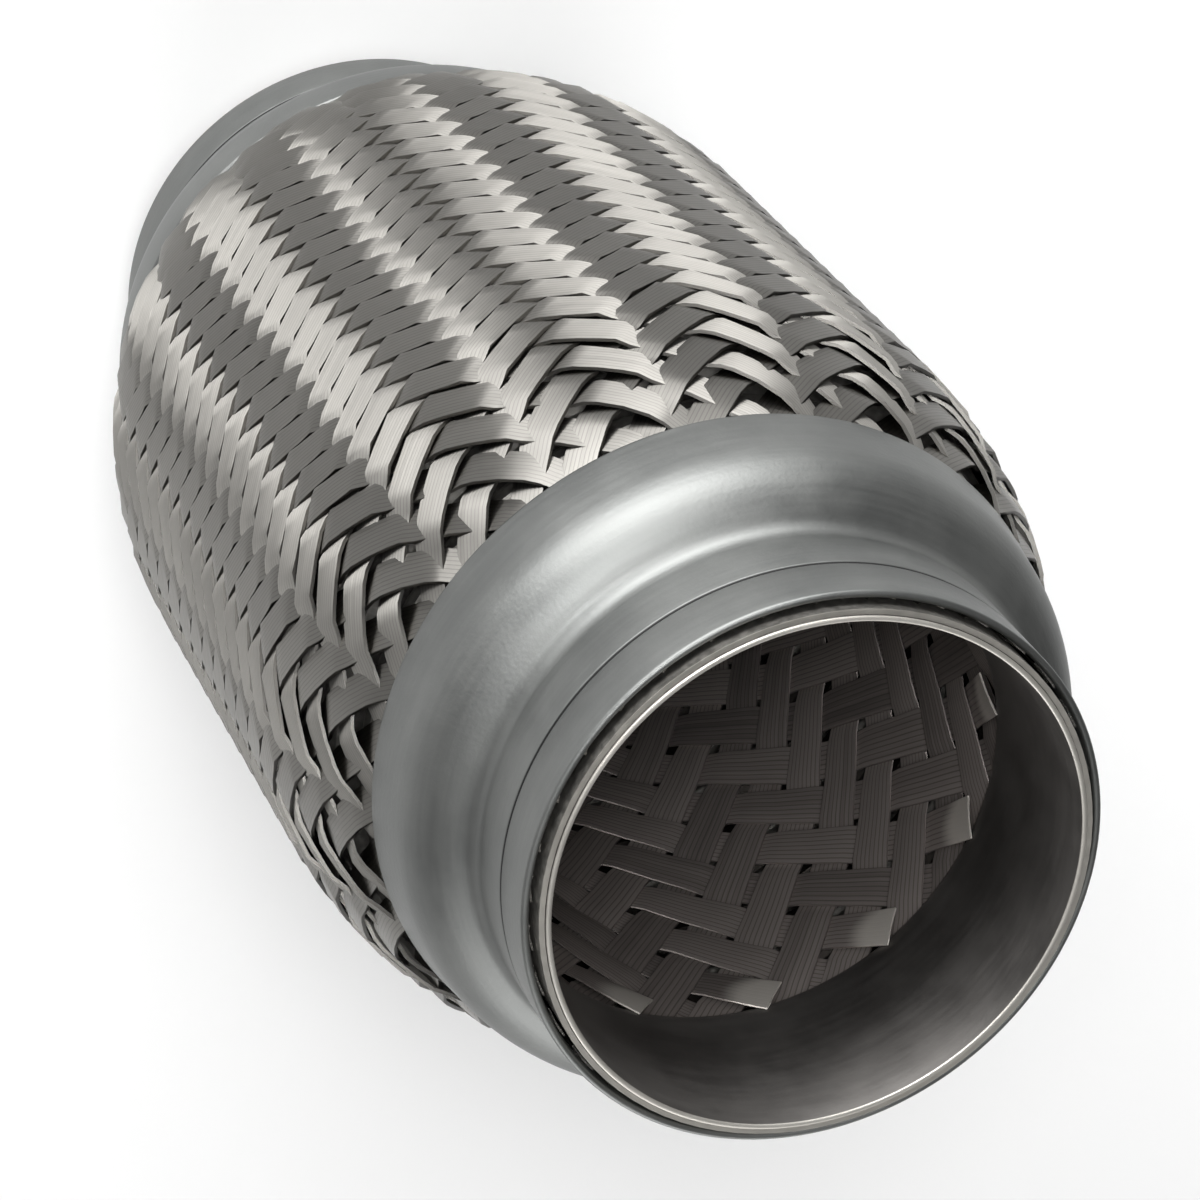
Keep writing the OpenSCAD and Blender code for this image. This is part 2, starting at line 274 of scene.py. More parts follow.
def mark_borders(bm):
    """Marks the two borders of a strip as sharp, and leaves its bends soft."""
    for edge in bm.edges:
        if edge.is_manifold and edge.calc_face_angle(0) > BORDER_ANGLE:
            edge.smooth = False


# %% [markdown]
# ## Outer braid
# Strips wind both ways, and each passes over two and then under two of the other winding. The
# turns shift by one strip each time, so the strips on top line up in columns along the pipe and
# the whole wall shows a herringbone. Bump on a plain wall would be flat at the edges, and the real
# strips show their thickness and leave dark slits, so every strip is laid on its own. Only two
# strips of a winding are built. Copies of the pair, turned about the axis by a spin with
# use_duplicate, fill the ring.

# %% Form of the outer braid's wall
OUTER_STRIPS = 34
OUTER_ROWS = 20
SWOLLEN_R = 34.394 * MM
RISE_L = 20 * MM
SKIRT_Z = skirt_inside.y
OUTER_SPAN = PIPE_L - 2 * SKIRT_Z
OUTER_LAST = 2 * OUTER_ROWS
TUCKED = 5
SPAN_BEND = 0.06
# Radius and height in mm under a cap, from the skirt's edge to the strips' cut ends
CLAMPED = [(29.3, 23.47), (27.9, 20.2), (25.66, 14.16), (24.05, 13.4), (24.05, 7.0), (24.05, 2.0)]


def wall_r(z):
    """Radius of the outer braid's wall at a height between the skirts."""
    left = max(0, 1 - (min(z, PIPE_L - z) - SKIRT_Z) / RISE_L)
    return SWOLLEN_R - (SWOLLEN_R - skirt_inside.x) * left ** 2


def outer_place(v):
    """Radius and height of the wall at a row count, with looser rows beside the caps."""
    if v < 0 or v > OUTER_LAST:
        past = min(-v if v < 0 else v - OUTER_LAST, TUCKED) / TUCKED * (len(CLAMPED) - 1)
        k = min(int(past), len(CLAMPED) - 2)
        r, z = (Vector(CLAMPED[k]).lerp(Vector(CLAMPED[k + 1]), past - k)) * MM
        return r, z if v < 0 else PIPE_L - z
    u = 2 * v / OUTER_LAST - 1
    z = PIPE_L / 2 + OUTER_SPAN / 2 * ((1 - SPAN_BEND) * u + SPAN_BEND * u ** 7)
    return wall_r(z), z


# %% Rhythm of the weave
DIVE_STEPS = (-0.45, -0.15, 0.15, 0.45, 1)
END_ROOM = 0.06
NEAR_ROW = 0.1


def eased(x):
    """A smooth step from 0 to 1."""
    x = min(1, max(0, x))
    return x * x * (3 - 2 * x)


def between(low, high, share):
    """The value at a share of the way from one value to another."""
    return low + (high - low) * share


def over_under(q, stiffness):
    """Height of a strip in the weave: 1 over two crossings, then -1 under two, with q in crossings."""
    return math.tanh(stiffness * math.cos(math.pi * q / 2))


def weave_steps(first, last, centre):
    """Row counts along a strip, close together where it dives and apart where it floats."""
    steps = [first, last]
    for dive in range(math.floor(first - centre) - 2, math.ceil(last - centre) + 3):
        if dive % 2:
            steps += [centre + dive + step for step in DIVE_STEPS]
    return sorted(v for v in steps if v in (first, last) or first + END_ROOM < v < last - END_ROOM)


def lattice_slant(v):
    """Lean that turns a cross section into the direction of the strips that cross it."""
    r, z = outer_place(v)
    near_r, near_z = outer_place(v + NEAR_ROW if v < OUTER_ROWS else v - NEAR_ROW)
    row = math.hypot(near_r - r, near_z - z) / NEAR_ROW
    arc_l = math.pi * r / OUTER_STRIPS
    return (arc_l ** 2 - row ** 2) / (2 * arc_l * row)


# %% Path of one outer strip
OUTER_THICK = 0.3 * MM
OUTER_LIFT = 0.28 * MM
FIRST_ROW = 3
FIRST_FLOAT = {1: -0.5, -1: -3.5}
EDGE_SINK = -0.42 * MM
FREE_RISE = 0.24 * MM
FREE_START, FREE_ROWS = 0.1, 1.6
WOVEN_START, WOVEN_ROWS = 0.9, 2
CLAMPED_LIFT = 0.22
CLAMPED_WIDTH = 0.8
CLAMPED_THICK = 0.45
SOFT_BEND, STIFF_BEND = 3, 5
STIFF_ROWS = 9


def outer_path(number, hand):
    """Steps of an outer strip. hand is 1 for strips that climb with the angle, and -1 for the others."""
    centre = 2 * number + FIRST_FLOAT[hand]
    clamped_rows = [i - TUCKED for i in range(TUCKED)]
    far_rows = [OUTER_LAST - v for v in reversed(clamped_rows)]
    path = []
    for v in clamped_rows + weave_steps(0, OUTER_LAST, centre) + far_rows:
        r, z = outer_place(v)
        angle = hand * (v + FIRST_ROW - 2 * number) * math.pi / OUTER_STRIPS
        inside = min(v, OUTER_LAST - v)
        woven = eased(inside / WOVEN_ROWS + WOVEN_START)
        bend = between(SOFT_BEND, STIFF_BEND, eased(inside / STIFF_ROWS))
        weave = between(hand, over_under(v - centre, bend), woven)
        r += OUTER_LIFT * between(CLAMPED_LIFT, 1, woven) * weave
        slant = 0
        if inside >= 0:
            r += between(EDGE_SINK, FREE_RISE, eased(inside / FREE_ROWS + FREE_START))
            slant = -hand * lattice_slant(v)
        outward = Vector((math.cos(angle), math.sin(angle), 0))
        middle = r * outward + Vector((0, 0, z))
        width = OUTER_WIDTH * between(CLAMPED_WIDTH, 1, woven)
        thickness = OUTER_THICK * between(CLAMPED_THICK, 1, woven)
        path.append((middle, outward, width, thickness, slant))
    return path


# %% Weave a winding
# A wave has its size, its count around the pipe, its radians for each metre of height, and its start
ROW_WAVES = [(0.3 * MM, 3, 0, 1.3), (0.22 * MM, 7, -150, 0)]
TURN_WAVES = [(0.007, 2, 90, 0), (0.004, 5, 210, 0)]


def ripple(waves, angle, z):
    """Sum of some waves at a place on the pipe."""
    return sum(size * math.sin(count * angle + rate * z + start) for size, count, rate, start in waves)


def uneven_rows(bm):
    """Shifts a whole braid a little, as a braiding machine does. Both windings shift alike."""
    for vert in bm.verts:
        x, y, z = vert.co
        angle = math.atan2(y, x)
        share = min(1, max(0, (z - SKIRT_Z) / OUTER_SPAN))
        free = max(0, math.sin(math.pi * share))
        z += free * ripple(ROW_WAVES, angle, z)
        angle += free * ripple(TURN_WAVES, angle, z)
        r = math.hypot(x, y)
        vert.co = (r * math.cos(angle), r * math.sin(angle), z)


def winding(name, strips, paths, node):
    """One winding of a braid: a few strips, copied about the axis until the ring is full."""
    bm = bmesh.new()
    uv_layer = bm.loops.layers.uv.new("strip")
    tone_layer = bm.faces.layers.float.new("strip_tone")
    for path in paths:
        lay_strip(bm, uv_layer, path)
    bmesh.ops.recalc_face_normals(bm, faces=bm.faces)
    mark_borders(bm)
    unit_faces = len(bm.faces)
    copies = strips // len(paths)
    bmesh.ops.spin(
        bm, geom=bm.verts[:] + bm.edges[:] + bm.faces[:], cent=(0, 0, 0), axis=(0, 0, 1),
        dvec=(0, 0, 0), angle=2 * math.pi * (copies - 1) / copies, steps=copies - 1,
        use_duplicate=True)
    tones = random.Random(name)
    strip_faces = unit_faces // len(paths)
    tone_of = [tones.random() for _ in range(strips)]
    bm.faces.ensure_lookup_table()
    for i, face in enumerate(bm.faces):
        face[tone_layer] = tone_of[min(i // strip_faces, strips - 1)]
    uneven_rows(bm)
    piece = finished_piece(name, bm)
    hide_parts(node)
    return piece


rising_pair = [outer_path(i, 1) for i in (0, 1)]
falling_pair = [outer_path(i, -1) for i in (0, 1)]
rising_winding = winding("outer_winding_rising", OUTER_STRIPS, rising_pair, "outer_braid")
falling_winding = winding("outer_winding_falling", OUTER_STRIPS, falling_pair, "outer_braid")

# %% [markdown]
# ## Inner braid
# The inner braid is coarser: twenty-four wider strips each way, on the wall of the bore. Its woven
# side looks at the axis, so outward here means towards the middle of the pipe. Its ends are held
# behind the sleeves' rolled lips. At each lip, every second strip of one winding was cut too short
# to be caught. Those free tips spring into the bore and shine, since the light reaches them first.

# %% Path of one inner strip
INNER_STRIPS = 24
INNER_ROWS = 12
INNER_LAST = 2 * INNER_ROWS
INNER_FIRST_Z = 18.474 * MM
INNER_ROW = (PIPE_L - 2 * INNER_FIRST_Z) / INNER_LAST
INNER_HELD = 0.8
INNER_R = 23.76 * MM
INNER_WIDTH = 3.95 * MM
INNER_THICK = 0.15 * MM
INNER_LIFT = 0.24 * MM
INNER_TURN = math.radians(11.4)
INNER_SLANT = 0.25
INNER_BEND = 3
INNER_FLOAT = {1: 1.5, -1: -1.5}
LIP_START, LIP_ROWS = 0.35, 0.8
LIP_SINK = 0.22 * MM
TIP_SETBACK = 0.05
TIP_ROWS = 1.6
TIP_RISE = 0.35 * MM
TIP_LIFT = 0.9 * MM


def inner_path(number, hand):
    """Steps of an inner strip, with a free tip where the weave ends on top."""
    centre = 2 * number + INNER_FLOAT[hand]
    free_top = hand > 0 and over_under(INNER_LAST - centre, INNER_BEND) > 0
    free_foot = hand < 0 and over_under(centre, INNER_BEND) > 0
    first = TIP_SETBACK if free_foot else -INNER_HELD
    last = INNER_LAST - TIP_SETBACK if free_top else INNER_LAST + INNER_HELD
    path = []
    for v in weave_steps(first, last, centre):
        z = INNER_FIRST_Z + v * INNER_ROW
        angle = INNER_TURN + hand * (v + 1 - 2 * number) * math.pi / INNER_STRIPS
        inside = min(v, INNER_LAST - v)
        free = eased(inside / LIP_ROWS + LIP_START)
        weave = over_under(v - centre, INNER_BEND)
        r = INNER_R - INNER_LIFT * weave * free + LIP_SINK * (1 - free)
        if (free_top and v > INNER_LAST / 2) or (free_foot and v < INNER_LAST / 2):
            past = max(0, 1 - inside / TIP_ROWS)
            r -= TIP_RISE * (1 - free) + TIP_LIFT * past ** 1.5
        outward = Vector((-math.cos(angle), -math.sin(angle), 0))
        middle = Vector((0, 0, z)) - r * outward
        path.append((middle, outward, INNER_WIDTH, INNER_THICK, -hand * INNER_SLANT))
    return path


# %% Weave the inner braid
rising_pair = [inner_path(i, 1) for i in (0, 1)]
falling_pair = [inner_path(i, -1) for i in (0, 1)]
rising_lining = winding("inner_winding_rising", INNER_STRIPS, rising_pair, "inner_braid")
falling_lining = winding("inner_winding_falling", INNER_STRIPS, falling_pair, "inner_braid")

# %% [markdown]
# ## Marks that several steels share
# All pieces are stainless steel, but each came from another machine. Three node groups hold what
# they share, so that each steel only sets its own strength: the lines between the wires of a
# strip, the fine rings that a turning or pressing tool leaves, and the cloudy patches of handling.
# They put out masks only. The shader itself stays in each material.

# %% A short way to add nodes
def add(tree, kind, settings=None, inputs=None):
    """Adds a node, sets its properties, and links or sets its inputs."""
    made = tree.nodes.new(kind)
    for key, value in (settings or {}).items():
        setattr(made, key, value)
    for key, value in (inputs or {}).items():
        if isinstance(value, bpy.types.NodeSocket):
            tree.links.new(value, made.inputs[key])
        else:
            made.inputs[key].default_value = value
    return made


def math_node(tree, operation, first, second=0.5):
    """The result of a Math node."""
    return add(tree, "ShaderNodeMath", {"operation": operation}, {0: first, 1: second}).outputs[0]


def group(name, inputs, outputs):
    """An empty shader group with named float sockets, and its two end nodes."""
    tree = bpy.data.node_groups.new(name, "ShaderNodeTree")
    for label, value in inputs.items():
        socket = tree.interface.new_socket(label, in_out="INPUT", socket_type="NodeSocketFloat")
        socket.default_value = value
    for label in outputs:
        tree.interface.new_socket(label, in_out="OUTPUT", socket_type="NodeSocketFloat")
    return tree, add(tree, "NodeGroupInput"), add(tree, "NodeGroupOutput")


# %% Lines between the wires of a strip
STRIP_SEEDS = 90.0

wire_lines, start, end = group(
    "Wire lines", {"Wires": WIRES, "Streak length": 0.12}, ["Groove", "Streak"])
strip_uv = add(wire_lines, "ShaderNodeTexCoord").outputs["UV"]
uv = add(wire_lines, "ShaderNodeSeparateXYZ", None, {0: strip_uv})
tone = add(wire_lines, "ShaderNodeAttribute", {"attribute_name": "strip_tone"})
wire_place = math_node(wire_lines, "MULTIPLY", uv.outputs["X"], start.outputs["Wires"])
within = math_node(wire_lines, "FRACT", wire_place)
from_middle = math_node(wire_lines, "ABSOLUTE", math_node(wire_lines, "SUBTRACT", within, 0.5))
groove = add(
    wire_lines, "ShaderNodeMapRange", {"interpolation_type": "SMOOTHSTEP"},
    {"Value": from_middle, "From Min": 0.3, "From Max": 0.5})
along = math_node(wire_lines, "MULTIPLY", uv.outputs["Y"], start.outputs["Streak length"])
streak_place = add(wire_lines, "ShaderNodeCombineXYZ", None, {"X": wire_place, "Y": along})
seed = math_node(wire_lines, "MULTIPLY", tone.outputs["Fac"], STRIP_SEEDS)
streak = add(
    wire_lines, "ShaderNodeTexNoise", {"noise_dimensions": "4D"},
    {"Vector": streak_place.outputs[0], "W": seed, "Scale": 1.0, "Detail": 2.0})
wire_lines.links.new(groove.outputs["Result"], end.inputs["Groove"])
wire_lines.links.new(streak.outputs["Fac"], end.inputs["Streak"])
print("group:", wire_lines.name)

# %% Rings of a turning tool
tool_rings, start, end = group("Tool rings", {"Fineness": 2500, "Break up": 3}, ["Rings"])
place = add(tool_rings, "ShaderNodeTexCoord").outputs["Object"]
parts = add(tool_rings, "ShaderNodeSeparateXYZ", None, {0: place})
flat = add(tool_rings, "ShaderNodeCombineXYZ", None, {"X": parts.outputs["X"], "Y": parts.outputs["Y"]})
radius = add(tool_rings, "ShaderNodeVectorMath", {"operation": "LENGTH"}, {0: flat.outputs[0]})
around = add(tool_rings, "ShaderNodeVectorMath", {"operation": "NORMALIZE"}, {0: flat.outputs[0]})
broken = add(
    tool_rings, "ShaderNodeVectorMath", {"operation": "SCALE"},
    {0: around.outputs["Vector"], "Scale": start.outputs["Break up"]})
height = math_node(tool_rings, "MULTIPLY", parts.outputs["Z"], start.outputs["Fineness"])
lifted = add(tool_rings, "ShaderNodeCombineXYZ", None, {"Z": height})
ring_place = add(
    tool_rings, "ShaderNodeVectorMath", {"operation": "ADD"},
    {0: broken.outputs["Vector"], 1: lifted.outputs[0]})
rings = add(
    tool_rings, "ShaderNodeTexNoise", {"noise_dimensions": "4D"},
    {"Vector": ring_place.outputs["Vector"],
     "W": math_node(tool_rings, "MULTIPLY", radius.outputs["Value"], start.outputs["Fineness"]),
     "Scale": 1.0, "Detail": 3.0})
tool_rings.links.new(rings.outputs["Fac"], end.inputs["Rings"])
print("group:", tool_rings.name)

# %% Patches of handling
patches, start, end = group("Handled patches", {"Size": 60, "Contrast": 0.2}, ["Patch"])
cloud = add(
    patches, "ShaderNodeTexNoise", None,
    {"Vector": add(patches, "ShaderNodeTexCoord").outputs["Object"], "Scale": start.outputs["Size"],
     "Detail": 5.0, "Roughness": 0.6})
low = math_node(patches, "SUBTRACT", 0.5, start.outputs["Contrast"])
high = math_node(patches, "ADD", 0.5, start.outputs["Contrast"])
patch = add(
    patches, "ShaderNodeMapRange", {"interpolation_type": "SMOOTHSTEP"},
    {"Value": cloud.outputs["Fac"], "From Min": low, "From Max": high})
patches.links.new(patch.outputs["Result"], end.inputs["Patch"])
print("group:", patches.name)

# %% [markdown]
# ## Steel of the braids
# Drawn wire is bright on its back, and the lines between the wires are darkened with painted shade;
# the wire also differs a little from strip to strip and along each wire. The base colour follows those
# masks. A bundle of wires spreads a reflection across itself and hardly along itself, which makes
# whole columns of the weave light or dark. So the shader is anisotropic, with its tangent taken from
# the strip's own UV map. The inner braid is the same wire without the polish, so the same recipe takes
# darker, browner colours.

# %% Wire steel
def new_material(name):
    """A node material with one Principled shader, and its tree."""
    steel = bpy.data.materials.new(name)
    steel.use_nodes = True
    return steel, steel.node_tree, steel.node_tree.nodes["Principled BSDF"]


def colour_mix(tree, factor, first, second):
    """The colour between two colours, or colour sockets, by a factor."""
    mixed = add(tree, "ShaderNodeMix", {"data_type": "RGBA"}, {"Factor": factor})
    for key, value in ((6, first), (7, second)):
        if isinstance(value, bpy.types.NodeSocket):
            tree.links.new(value, mixed.inputs[key])
        else:
            mixed.inputs[key].default_value = (*value, 1)
    return mixed.outputs[2]


def spread(tree, value, low, high):
    """A mask brought from 0 and 1 to two other values."""
    ends = {"Value": value, "To Min": low, "To Max": high}
    return add(tree, "ShaderNodeMapRange", None, ends).outputs["Result"]


def placed_group(tree, source, values=None):
    """A node group placed in a material with its own values."""
    return add(tree, "ShaderNodeGroup", {"node_tree": source}, values)


def wire_steel(name, groove_shade_colour, dull_colour, bright_colour, rough, metal, unlike):
    """Steel of a braid: painted shade in the grooves, streaks along the wires, and a tone for each strip.
    """
    steel, tree, shader = new_material(name)
    lines = placed_group(tree, wire_lines)
    tone = add(tree, "ShaderNodeAttribute", {"attribute_name": "strip_tone"})
    blend = math_node(tree, "MULTIPLY", lines.outputs["Streak"], 0.9)
    shade = math_node(tree, "ADD", blend, math_node(tree, "MULTIPLY", tone.outputs["Fac"], unlike))
    face = colour_mix(tree, shade, dull_colour, bright_colour)
    # Painted shade: the grooves between the wires get the darker groove colour
    groove = math_node(tree, "MULTIPLY", lines.outputs["Groove"], 0.6)
    tree.links.new(colour_mix(tree, groove, face, groove_shade_colour), shader.inputs["Base Color"])
    dulled = spread(tree, lines.outputs["Streak"], rough - 0.07, rough + 0.1)
    tree.links.new(dulled, shader.inputs["Roughness"])
    shader.inputs["Metallic"].default_value = metal
    shader.inputs["Anisotropic"].default_value = 0.97
    across = add(tree, "ShaderNodeTangent", {"direction_type": "UV_MAP", "uv_map": "strip"})
    tree.links.new(across.outputs["Tangent"], shader.inputs["Tangent"])
    dent = add(
        tree, "ShaderNodeBump", None,
        {"Strength": 0.2, "Distance": 0.03 * MM,
         "Height": math_node(tree, "SUBTRACT", lines.outputs["Streak"], lines.outputs["Groove"])})
    tree.links.new(dent.outputs["Normal"], shader.inputs["Normal"])
    return steel


braid_steel = wire_steel(
    "Bright wire", groove_shade_colour=(0.13, 0.126, 0.118), dull_colour=(0.175, 0.169, 0.158),
    bright_colour=(0.28, 0.271, 0.252), rough=0.44, metal=1, unlike=0.3)
lining_steel = wire_steel(
    "Browned wire", groove_shade_colour=(0.06, 0.052, 0.049), dull_colour=(0.07, 0.061, 0.057),
    bright_colour=(0.38, 0.34, 0.32), rough=0.5, metal=0.7, unlike=0.85)
print("steels:", braid_steel.name, "and", lining_steel.name)

# %% [markdown]
# ## Steel of the caps, sleeves and bellows
# The caps are pressed and then tumbled, which leaves a dull, even grey with faint rings. The sleeves
# keep the brown skin of rolled sheet. The bellows is rough between its folds. All three mix two greys
# by patches and rings, and let the rings and a fine grain lift the surface by a hair.

# %% Turned steel
GRAIN_SCALE = 2600.0


def turned_steel(name, dark, light, rough, fineness, patch_size, lift):
    """Steel of a turned or pressed piece: two greys by patches and tool rings."""
    steel, tree, shader = new_material(name)
    marks = placed_group(tree, tool_rings, {"Fineness": fineness})
    cloud = placed_group(tree, patches, {"Size": patch_size})
    total = math_node(tree, "ADD", marks.outputs["Rings"], cloud.outputs["Patch"])
    both = math_node(tree, "MULTIPLY", total, 0.5)
    tree.links.new(colour_mix(tree, both, dark, light), shader.inputs["Base Color"])
    tree.links.new(spread(tree, both, rough - 0.08, rough + 0.1), shader.inputs["Roughness"])
    shader.inputs["Metallic"].default_value = 1
    place = add(tree, "ShaderNodeTexCoord").outputs["Object"]
    grain = add(tree, "ShaderNodeTexNoise", None, {"Vector": place, "Scale": GRAIN_SCALE, "Detail": 2.0})
    fine = add(
        tree, "ShaderNodeBump", None,
        {"Strength": 0.3, "Distance": lift,
         "Height": math_node(tree, "ADD", marks.outputs["Rings"], grain.outputs["Fac"])})
    tree.links.new(fine.outputs["Normal"], shader.inputs["Normal"])
    return steel


cap_steel = turned_steel(
    "Pressed cap steel", dark=(0.135, 0.14, 0.137), light=(0.225, 0.23, 0.223),
    rough=0.49, fineness=2200, patch_size=70, lift=0.05 * MM)
sleeve_steel = turned_steel(
    "Rolled sleeve steel", dark=(0.14, 0.134, 0.128), light=(0.23, 0.22, 0.21),
    rough=0.52, fineness=1500, patch_size=90, lift=0.03 * MM)
bellows_steel = turned_steel(
    "Folded bellows steel", dark=(0.18, 0.172, 0.16), light=(0.36, 0.35, 0.325),
    rough=0.48, fineness=900, patch_size=1400, lift=0.05 * MM)
print("steels:", cap_steel.name, "and", sleeve_steel.name, "and", bellows_steel.name)

# %% [markdown]
# ## Darker and brighter places
# Some places get another colour laid over their steel, and each stands in for light or shade:
# painted shade in the line around the caps' necks, painted shade at the roots of the bellows, which
# get no light, painted highlights on the sleeves' ground ends and the bellows' cuff at the rim, and a
# painted highlight on the free tips of the inner braid, which stand in the light. Each is at one height
# or at one distance from the axis, so a band of that measure makes the mask, and another colour is
# laid over the steel by it.

# %% Masks for a band of height or distance
def band(tree, value, middle, half):
    """A mask that is 1 within a band of a value and fades at its borders."""
    off = math_node(tree, "ABSOLUTE", math_node(tree, "SUBTRACT", value, middle))
    ends = {"Value": off, "From Min": 0.7 * half, "From Max": 1.2 * half, "To Min": 1.0, "To Max": 0.0}
    return add(tree, "ShaderNodeMapRange", {"interpolation_type": "SMOOTHSTEP"}, ends).outputs["Result"]


def lay_over(steel, mask, colour):
    """Lays another colour over a steel by a mask."""
    tree = steel.node_tree
    base = tree.nodes["Principled BSDF"].inputs["Base Color"]
    tree.links.new(colour_mix(tree, mask, base.links[0].from_socket, colour), base)


def object_axes(tree):
    """The object coordinates of a surface point, taken apart."""
    return add(tree, "ShaderNodeSeparateXYZ", None, {0: add(tree, "ShaderNodeTexCoord").outputs["Object"]})


def end_band(tree, depth, half):
    """A band around the pipe at a depth from both of its ends."""
    from_middle = math_node(tree, "SUBTRACT", object_axes(tree).outputs["Z"], PIPE_L / 2)
    return band(tree, math_node(tree, "ABSOLUTE", from_middle), PIPE_L / 2 - depth, half)


def ring_band(tree, radius, half):
    """A band at a distance from the pipe's axis."""
    axes = object_axes(tree)
    flat = add(tree, "ShaderNodeCombineXYZ", None, {"X": axes.outputs["X"], "Y": axes.outputs["Y"]})
    from_axis = add(tree, "ShaderNodeVectorMath", {"operation": "LENGTH"}, {0: flat.outputs[0]})
    return band(tree, from_axis.outputs["Value"], radius, half)


print("bands fade out at 1.2 times their half width")

# %% Lay the bands over the steels
CUFF_SETBACK = 0.2 * MM
ROOT_R = 24.9 * MM
TIP_R = 22.4 * MM
# Colours of painted shade and painted highlights
PAINTED_LINE_SHADE = (0.03, 0.03, 0.03)
ROOT_SHADE = (0.02, 0.018, 0.016)
PAINTED_TIP_HIGHLIGHT = (0.8, 0.76, 0.7)
PAINTED_CUFF_HIGHLIGHT = (0.5, 0.48, 0.44)
PAINTED_END_HIGHLIGHT = (0.55, 0.53, 0.49)

# Painted shade in the turned line around each cap's neck
line_shade_mask = end_band(cap_steel.node_tree, NECK_LINE_Z, 0.18 * MM)
# Painted highlight on the sleeves' ground ends at the rim
end_highlight_mask = end_band(sleeve_steel.node_tree, 0, 0.1 * MM)
# Painted highlight on the bellows' cuff at the rim
cuff_highlight_mask = end_band(bellows_steel.node_tree, CUFF_SETBACK, 0.1 * MM)
root_mask = ring_band(bellows_steel.node_tree, ROOT_R, 0.75 * MM)
# Painted highlight on the inner braid's free tips, which stand in the light
tip_highlight_mask = ring_band(lining_steel.node_tree, TIP_R, 0.7 * MM)
# Lay the painted shade and painted highlights over the steels
lay_over(cap_steel, line_shade_mask, PAINTED_LINE_SHADE)
lay_over(bellows_steel, root_mask, ROOT_SHADE)
lay_over(bellows_steel, cuff_highlight_mask, PAINTED_CUFF_HIGHLIGHT)
lay_over(lining_steel, tip_highlight_mask, PAINTED_TIP_HIGHLIGHT)
lay_over(sleeve_steel, end_highlight_mask, PAINTED_END_HIGHLIGHT)
print("bands laid over 4 steels")

# %% Put each steel on its pieces
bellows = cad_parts["bellows"]
finishes = [
    (rising_winding, braid_steel, "outer_braid_steel"),
    (falling_winding, braid_steel, "outer_braid_steel"),
    (rising_lining, lining_steel, "inner_braid_steel"),
    (falling_lining, lining_steel, "inner_braid_steel"),
    (upper_cap, cap_steel, "cap_steel"),
    (lower_cap, cap_steel, "cap_steel"),
    (upper_sleeve, sleeve_steel, "sleeve_steel"),
    (lower_sleeve, sleeve_steel, "sleeve_steel"),
    (bellows, bellows_steel, "bellows_steel"),
]
hidden_nodes = {
    "outer_braid": braid_steel, "inner_braid": lining_steel,
    "upper_end_cap": cap_steel, "lower_end_cap": cap_steel,
    "upper_inner_sleeve": sleeve_steel, "lower_inner_sleeve": sleeve_steel}
for piece, steel, slot in finishes:
    piece.data.materials.clear()
    piece.data.materials.append(steel)
for name, steel in hidden_nodes.items():
    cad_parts[name].data.materials.clear()
    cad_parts[name].data.materials.append(steel)
print("finished", len(finishes), "pieces")

# %% [markdown]
# ## Floor and light
# The pipe stands on a plain pale floor, which fills the picture because the camera looks down on
# it. Polished strips only show what they mirror, so the light decides which columns of the weave
# are bright: a wide soft lamp stands low in front, a little to the right, and the other side of
# the room stays dimmer. The lamps are as bright as the colours need and no brighter.

# %% Floor
FLOOR_R = 3
FLOOR_Z = -0.2 * MM

floor_bm = bmesh.new()
bmesh.ops.create_circle(floor_bm, cap_ends=True, segments=96, radius=FLOOR_R)
bmesh.ops.translate(floor_bm, vec=(0, 0, FLOOR_Z), verts=floor_bm.verts)
floor_mesh = bpy.data.meshes.new("floor")
floor_bm.to_mesh(floor_mesh)
floor_bm.free()
floor = bpy.data.objects.new("floor", floor_mesh)
bpy.context.scene.collection.objects.link(floor)
paper, paper_tree, paper_shader = new_material("Pale floor paper")
paper_cloud = placed_group(paper_tree, patches, {"Size": 3.0})
paper_colour = colour_mix(
    paper_tree, paper_cloud.outputs["Patch"], (0.86, 0.86, 0.86), (0.9, 0.9, 0.9))
paper_tree.links.new(paper_colour, paper_shader.inputs["Base Color"])
paper_shader.inputs["Roughness"].default_value = 0.9
floor.data.materials.append(paper)
print("floor of", floor.dimensions.x, "m")

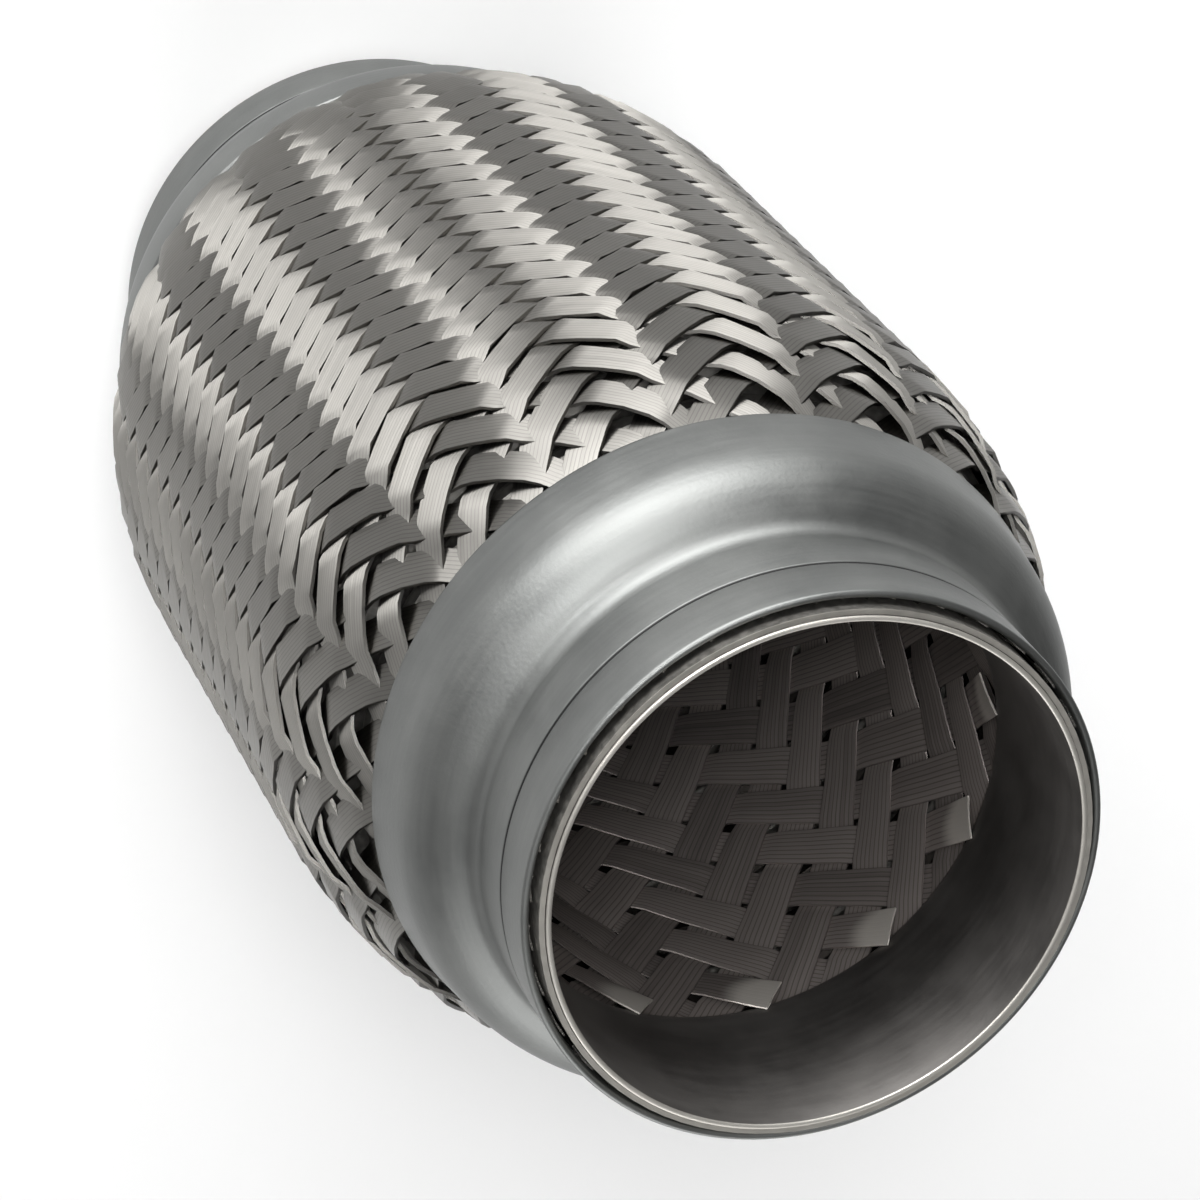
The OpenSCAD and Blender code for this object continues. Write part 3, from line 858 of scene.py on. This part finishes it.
# %% Lamps and world
def soft_lamp(name, place, aim, size, power):
    """A wide area lamp that looks at a point and stays out of the picture."""
    lamp = bpy.data.lights.new(name, "AREA")
    lamp.shape = "RECTANGLE"
    lamp.size, lamp.size_y = size
    lamp.energy = power
    holder = bpy.data.objects.new(name, lamp)
    holder.location = place
    holder.rotation_euler = (Vector(aim) - Vector(place)).to_track_quat("-Z", "Y").to_euler()
    holder.visible_camera = False
    bpy.context.scene.collection.objects.link(holder)
    return holder


MIDDLE = (0, 0, 0.07)
soft_lamp("front_lamp", (0.54, 1.25, 0.24), MIDDLE, (1.44, 0.48), 31)
soft_lamp("high_lamp", (0.24, 0.78, 0.52), MIDDLE, (0.5, 0.2), 2)
soft_lamp("top_lamp", (0.05, 0.6, 1.1), MIDDLE, (0.6, 0.6), 5)
soft_lamp("far_lamp", (-0.75, -0.75, 0.5), MIDDLE, (0.9, 0.6), 8)
mouth_lamp = soft_lamp("mouth_lamp", (0.03, 0.3, 0.55), (0, -0.02, 0.1), (0.12, 0.12), 0.07)
mouth_lamp.data.spread = math.radians(40)

world = bpy.data.worlds.new("Studio")
world.use_nodes = True
room = world.node_tree.nodes["Background"]
room.inputs["Color"].default_value = (0.4, 0.4, 0.4, 1)
room.inputs["Strength"].default_value = 0.5
bpy.context.scene.world = world
bpy.context.scene.view_settings.view_transform = "Standard"
print("lamps aimed at", MIDDLE, "in a dim grey room")

# %% [markdown]
# ## Camera
# The camera's place, turn and lens come from fitting a pinhole camera to the mouth's circle, the
# two skirts and the outline in the photograph. It looks almost down into the upper mouth, and it is
# rolled, because the pipe in the photograph lies on its side.

# %% Camera
CAMERA_PLACE = (8.13 * MM, 212.59 * MM, 415.0 * MM)
CAMERA_TURN = (-26.5558, -19.1308, -35.5335)
FOCAL_L = 132.58

lens = bpy.data.cameras.new("camera")
lens.lens = FOCAL_L
lens.sensor_width = 36
lens.clip_start = 0.01
camera = bpy.data.objects.new("camera", lens)
camera.location = CAMERA_PLACE
camera.rotation_euler = [math.radians(angle) for angle in CAMERA_TURN]
bpy.context.scene.collection.objects.link(camera)
bpy.context.scene.camera = camera
print("camera at", tuple(camera.location))
